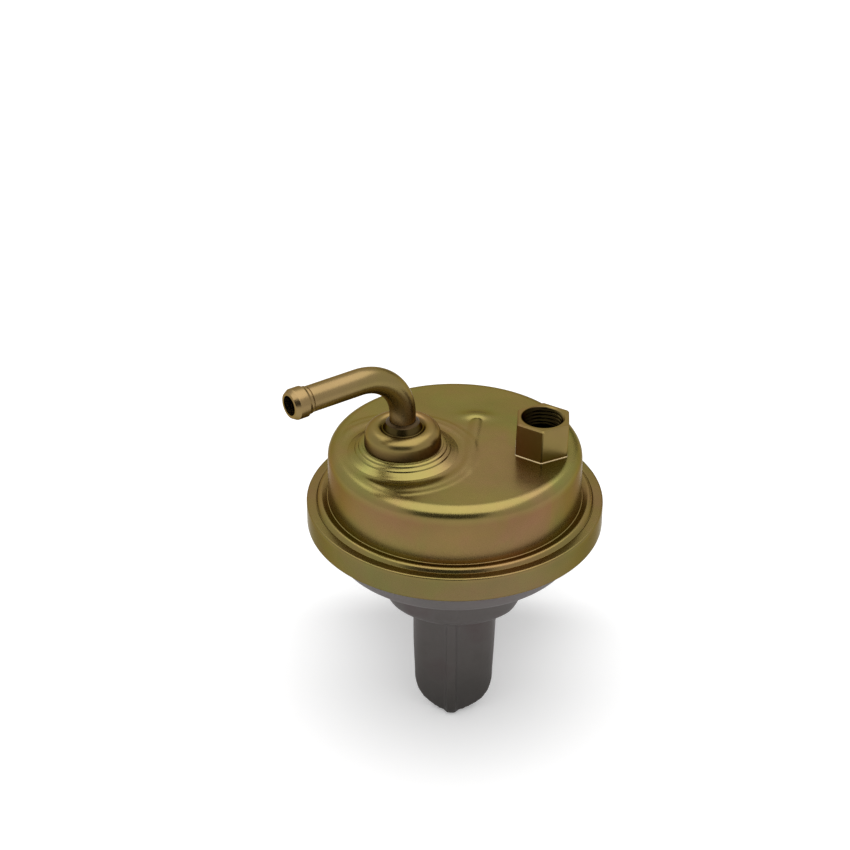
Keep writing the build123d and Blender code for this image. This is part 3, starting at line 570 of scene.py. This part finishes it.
def make_tube():
    """The bent tube with its hose bead, swept as rings along its centre line."""
    heading = math.radians(TUBE_ARM_ANGLE)
    out = Vector((math.cos(heading), math.sin(heading), 0.0))
    up = Vector((0.0, 0.0, 1.0))
    across = out.cross(up)
    foot_z = BOSS_TOP + CAP_H - CAP_T
    stations = []
    base = Vector((INLET[0], INLET[1], 0.0))
    for z in (foot_z, TUBE_ARM_Z - TUBE_BEND_R):
        stations.append((base + up * z, up, TUBE_R))
    bend_centre = base + up * (TUBE_ARM_Z - TUBE_BEND_R) + out * TUBE_BEND_R
    bend_steps = 32
    for i in range(1, bend_steps + 1):
        turn = math.pi / 2 * i / bend_steps
        spot = bend_centre - out * (TUBE_BEND_R * math.cos(turn))
        spot = spot + up * (TUBE_BEND_R * math.sin(turn))
        stations.append((spot, out * math.sin(turn) + up * math.cos(turn), TUBE_R))
    corner = base + up * TUBE_ARM_Z
    land = rounded(
        [(3.4 + BEAD_LAND_L, TUBE_R), (3.2 + BEAD_LAND_L, TUBE_R - 0.3),
         (2.9 + BEAD_LAND_L, TUBE_R + 0.25), (2.2 + BEAD_LAND_L, TUBE_R + 0.25),
         (1.4 + BEAD_LAND_L, BEAD_LAND_R), (1.4, BEAD_LAND_R),
         (0.0, TUBE_R - 0.1), (0.0, TUBE_BORE_R)],
        [0.1, 0.15, 0.2, 0.4, 0.5, 0.2], steps=5)
    for back, radius in land:
        stations.append((corner + out * (TUBE_ARM_LENGTH - back), out, radius))
    inner = [(spot, along, TUBE_BORE_R) for spot, along, radius in reversed(stations[:-1])
             if abs(radius - TUBE_R) < 1e-6]
    inner.insert(0, (corner + out * (TUBE_ARM_LENGTH - 3.0), out, TUBE_BORE_R))
    bm = bmesh.new()
    rings = []
    segments = 64
    for spot, along, radius in stations + inner:
        side = along.cross(across)
        ring = []
        for i in range(segments):
            turn = 2 * math.pi * i / segments
            point = spot + across * (radius * math.cos(turn)) + side * (radius * math.sin(turn))
            ring.append(bm.verts.new(place(*point)))
        rings.append(ring)
    bridge_loop(bm, rings)
    return finish_mesh("tube_skin", bm)


def hex_radius(turn, grow, corner_ease):
    """Radius of the hexagon, grown or shrunk, with its corners cut back a little."""
    from_flat = (turn + math.pi / 6) % (math.pi / 3) - math.pi / 6
    corner_r = HEX_AF / math.sqrt(3) - corner_ease + grow
    return min((HEX_AF / 2 + grow) / math.cos(from_flat), corner_r)


def make_hex():
    """The hexagon with eased corners, a cut thread and a raised flare seat."""
    top = COVER_TOP + HEX_H
    bm = bmesh.new()

    def ring(z, radius_at):
        verts = []
        for i in range(HEX_SEGMENTS):
            turn = 2 * math.pi * i / HEX_SEGMENTS
            r = radius_at(turn)
            x = OUTLET[0] + r * math.cos(turn) + HEX_LEAN * max(z - COVER_TOP, 0.0)
            verts.append(bm.verts.new(place(x, OUTLET[1] + r * math.sin(turn), z)))
        return verts

    rings = [ring(COVER_TOP, lambda t: hex_radius(t, 0.0, HEX_EASE)),
             ring(top - HEX_BEVEL_H, lambda t: hex_radius(t, 0.0, HEX_EASE)),
             ring(top, lambda t: hex_radius(t, -HEX_BEVEL, HEX_EASE)),
             ring(top, lambda t: MOUTH_R),
             ring(top - 0.5, lambda t: MOUTH_R - 0.5)]
    rows_per_turn = 8
    turns = (THREAD_DEPTH - RELIEF_H - 1.2) / THREAD_PITCH
    rows = int(turns * rows_per_turn)
    for k in range(rows):
        z = top - 0.7 - k * THREAD_PITCH / rows_per_turn

        def thread(turn, k=k):
            phase = (k / rows_per_turn + turn / (2 * math.pi)) % 1.0
            fade = min(1.0, (rows - k) / 6.0)
            return THREAD_R + THREAD_CUT * abs(2 * phase - 1) * fade

        rings.append(ring(z, thread))
    floor = top - THREAD_DEPTH
    rings += [ring(floor + RELIEF_H, lambda t: THREAD_R),
              ring(floor + RELIEF_H, lambda t: RELIEF_R),
              ring(floor, lambda t: RELIEF_R),
              ring(floor + FLARE_SEAT_H, lambda t: FLARE_HOLE_R + 0.1),
              ring(floor + FLARE_SEAT_H - 0.1, lambda t: FLARE_HOLE_R),
              ring(COVER_TOP - SPIGOT_H, lambda t: FLARE_HOLE_R),
              ring(COVER_TOP - SPIGOT_H, lambda t: SPIGOT_R),
              ring(COVER_TOP, lambda t: SPIGOT_R)]
    bridge_loop(bm, rings)
    return finish_mesh("hex_body", bm, sharp_deg=25.0)


def make_foot_bead():
    """The run of braze round the hexagon's foot, full in front and thin behind."""
    bm = bmesh.new()
    rings = []
    for out, up in BRAZE_SECTION:
        ring = []
        for i in range(HEX_SEGMENTS):
            turn = 2 * math.pi * i / HEX_SEGMENTS
            from_front = abs(math.degrees(turn) - 270.0)
            from_front = min(from_front, 360.0 - from_front)
            size = 1.0 - BRAZE_THINNED * smooth_step(from_front, *BRAZE_FADE)
            r = hex_radius(turn, out * size, BRAZE_EASE)
            x, y = OUTLET[0] + r * math.cos(turn), OUTLET[1] + r * math.sin(turn)
            ring.append(bm.verts.new(place(x, y, COVER_TOP + up * size)))
        rings.append(ring)
    bridge_loop(bm, rings)
    return finish_mesh("foot_bead", bm, sharp_deg=50.0)


def make_casting():
    """The die casting, with its stem drawn out sideways to the width that the photo shows."""
    piece = from_node("casting_skin", "lower_housing", *CASTING_SKIN)
    for vertex in piece.data.vertices:
        below = RIM_Z - vertex.co.z / MM
        x = vertex.co.x / MM
        behind = vertex.co.y / MM - AXIS_Y
        on_stem = smooth_step(below, *STEM_DOWN) * (1.0 - smooth_step(abs(x), *STEM_SIDE))
        on_stem *= 1.0 - smooth_step(behind, *STEM_BACK)
        wider = (STEM_EDGES * smooth_step(abs(x), *STEM_EDGES_FROM) + STEM_SPREAD * x
                 + smooth_step(below, *STEM_FOOT) * STEM_FOOT_SPREAD * x)
        vertex.co.x += on_stem * wider * MM
    return piece


def dress(piece, material, node):
    """Gives a piece its look and puts it in a CAD node's place, on that node's body."""
    piece.data.materials.clear()
    piece.data.materials.append(material)
    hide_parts(node)
    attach(piece, frame["nodes"][node]["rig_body"])


dress(make_cover(), gold_cover, "upper_cover")
# Painted shade in the drum's dish round the collar
dress(make_cap(), darken_round(gold_drum, INLET, COLLAR_FOOT_R + 0.1, CAP_DISH_R, shade=0.3),
      "inlet_cap")
dress(make_tube(), gold_tube, "inlet_tube")
gold_outlet = gold_fittings.copy()
gold_outlet.name = "gold_outlet"
# Painted shade in the threaded bore
dress(make_hex(), darken_round(gold_outlet, OUTLET, THREAD_R + 0.6, THREAD_R + 1.0, shade=0.04),
      "outlet_fitting")
dress(make_foot_bead(), braze_metal, "outlet_braze_fillet")
dress(make_casting(), cast_grey, "lower_housing")
dress(from_node("arm_skin", "rocker_arm", *ARM_SKIN),
      plain_metal("forged_steel", FORGED_GREY, roughness=0.42), "rocker_arm")

# The CAD nodes that stay get their looks by slot
slot_looks = {
    "zinc_plated_steel": gold_fittings,
    "braze": braze_metal,
    "cast_aluminium": cast_grey,
    "plain_steel": plain_metal("plain_steel", (0.5, 0.5, 0.49), roughness=0.35),
    "gasket_fibre": soft_matter("gasket_fibre", (0.2, 0.17, 0.13), roughness=0.8),
    "nitrile_rubber": soft_matter("nitrile_rubber", (0.03, 0.03, 0.03), roughness=0.6),
    "zinc_die_cast": plain_metal("zinc_die_cast", (0.5, 0.5, 0.5), roughness=0.5),
    "valve_resin": soft_matter("valve_resin", (0.12, 0.09, 0.06), roughness=0.5),
    "spring_steel": plain_metal("spring_steel", (0.38, 0.38, 0.4), roughness=0.3),
    "forged_steel": plain_metal("forged_steel_inner", FORGED_GREY, roughness=0.42),
    "bronze": plain_metal("bronze", (0.55, 0.36, 0.17), roughness=0.35),
}
for entry in frame["record"]["subparts"]:
    nodes[entry["node"]].data.materials.clear()
    nodes[entry["node"]].data.materials.append(slot_looks[entry["material_slot"]])
# The braze ring at the tube's foot is coloured near black: painted shade in the crease round the
# tube
nodes["tube_braze_ring"].data.materials[0] = braze_in_shade


# Floor, light and camera
FILL = 0.45                  # the white world's strength for diffuse light
FLOOR_WHITE = 0.9
FLOOR_R = 4.0
FLOOR_GAP = 0.0005
FLOOR_GLOW = (0.3, 0.66)     # what the floor adds for seen rays, near and far
FLOOR_REACH = (0.15, 1.2)    # the distances in metres for those two
SCENE_MIDDLE = (0.0, -0.05, 0.06)


def seen_ray(tree):
    """1 for rays from the camera and from metal or glass, 0 for diffuse light."""
    path = add_node(tree, "ShaderNodeLightPath")
    seen = path.outputs["Is Camera Ray"]
    for kind in ("Is Glossy Ray", "Is Transmission Ray"):
        either = add_node(tree, "ShaderNodeMath", operation="MAXIMUM")
        tree.links.new(seen, either.inputs[0])
        tree.links.new(path.outputs[kind], either.inputs[1])
        seen = either.outputs[0]
    return seen


def white_world():
    """White for the camera and in reflections, dimmer as light."""
    world = bpy.data.worlds.new("studio")
    bpy.context.scene.world = world
    world.use_nodes = True
    tree = world.node_tree
    tree.nodes.clear()
    out = tree.nodes.new("ShaderNodeOutputWorld")
    mix = tree.nodes.new("ShaderNodeMixShader")
    tree.links.new(seen_ray(tree), mix.inputs["Fac"])
    for socket, strength in ((mix.inputs[1], FILL), (mix.inputs[2], 1.0)):
        background = tree.nodes.new("ShaderNodeBackground")
        background.inputs["Color"].default_value = (1.0, 1.0, 1.0, 1.0)
        background.inputs["Strength"].default_value = strength
        tree.links.new(background.outputs[0], socket)
    tree.links.new(mix.outputs[0], out.inputs["Surface"])


def pale_floor():
    """A pale floor that keeps the shadow, with a glow that is seen but lights nothing."""
    bm = bmesh.new()
    bmesh.ops.create_circle(bm, cap_ends=True, radius=FLOOR_R, segments=64)
    floor = finish_mesh("floor", bm)
    floor.location.z = cad_box[0][2] - FLOOR_GAP
    material, tree, bsdf = new_material("pale_floor")
    bsdf.inputs["Base Color"].default_value = (FLOOR_WHITE, FLOOR_WHITE, FLOOR_WHITE, 1.0)
    bsdf.inputs["Roughness"].default_value = 0.9
    bsdf.inputs["Specular IOR Level"].default_value = 0.0
    bsdf.inputs["Emission Color"].default_value = (1.0, 1.0, 1.0, 1.0)
    away = add_node(tree, "ShaderNodeVectorMath", operation="LENGTH")
    tree.links.new(object_coords(tree), away.inputs[0])
    by_distance = map_range(tree, away.outputs["Value"], *FLOOR_REACH, *FLOOR_GLOW)
    glow = add_node(tree, "ShaderNodeMath", operation="MULTIPLY")
    tree.links.new(seen_ray(tree), glow.inputs[0])
    tree.links.new(by_distance, glow.inputs[1])
    tree.links.new(glow.outputs[0], bsdf.inputs["Emission Strength"])
    floor.data.materials.append(material)


def aim(thing, position, target):
    """Places a lamp or a card and turns its face to the target."""
    thing.location = position
    toward = Vector(target) - Vector(position)
    thing.rotation_euler = toward.to_track_quat("-Z", "Y").to_euler()


def area_light(name, position, target, size, power):
    data = bpy.data.lights.new(name, "AREA")
    data.shape = "SQUARE"
    data.size = size
    data.energy = power
    light = bpy.data.objects.new(name, data)
    aim(light, position, target)
    bpy.context.scene.collection.objects.link(light)


def flag(name, position, target, width, height, shade):
    """A card that the metal reflects, out of the camera's sight."""
    bm = bmesh.new()
    bmesh.ops.create_grid(bm, x_segments=1, y_segments=1, size=0.5)
    card = finish_mesh(name, bm)
    card.scale = (width, height, 1.0)
    aim(card, position, target)
    material, tree, bsdf = new_material(name)
    bsdf.inputs["Base Color"].default_value = (shade, shade, shade, 1.0)
    bsdf.inputs["Roughness"].default_value = 0.9
    card.data.materials.append(material)
    card.visible_camera = False
    card.visible_shadow = False
    card.visible_diffuse = False


def photo_camera():
    """The photograph's own view, fitted to it: millimetres, and a focal length in pixels."""
    elevation = math.radians(30.851)
    azimuth = math.radians(3.0)
    distance, shift_x, shift_y = 664.0, 9.365, -28.189
    focal_px = 2091.4
    image_px = 850.0
    turn = Matrix.Rotation(azimuth, 3, "Z")
    right = turn @ Vector((1, 0, 0))
    up = turn @ Vector((0, math.sin(elevation), math.cos(elevation)))
    back = turn @ Vector((0, -math.cos(elevation), math.sin(elevation)))
    origin = Vector((0, AXIS_Y, RIM_Z))
    spot = origin + back * distance - right * shift_x - up * shift_y
    data = bpy.data.cameras.new("camera")
    sensor = 36.0
    data.sensor_width = sensor
    data.lens = sensor * focal_px / image_px
    camera = bpy.data.objects.new("camera", data)
    facing = Matrix((right, up, back)).transposed().to_4x4()
    camera.matrix_world = Matrix.Translation(spot * MM) @ facing
    bpy.context.scene.collection.objects.link(camera)
    bpy.context.scene.camera = camera


white_world()
pale_floor()
area_light("overhead", position=(0.0, -0.06, 0.75), target=(0.0, -0.06, 0.0), size=1.15, power=6.5)
flag("front_flag", (-0.03, -0.5, 0.3), SCENE_MIDDLE, width=0.58, height=0.38, shade=0.05)
flag("back_flag", (0.2, 0.42, 0.17), SCENE_MIDDLE, width=0.24, height=0.16, shade=0.5)
photo_camera()
bpy.context.scene.view_settings.view_transform = "Standard"
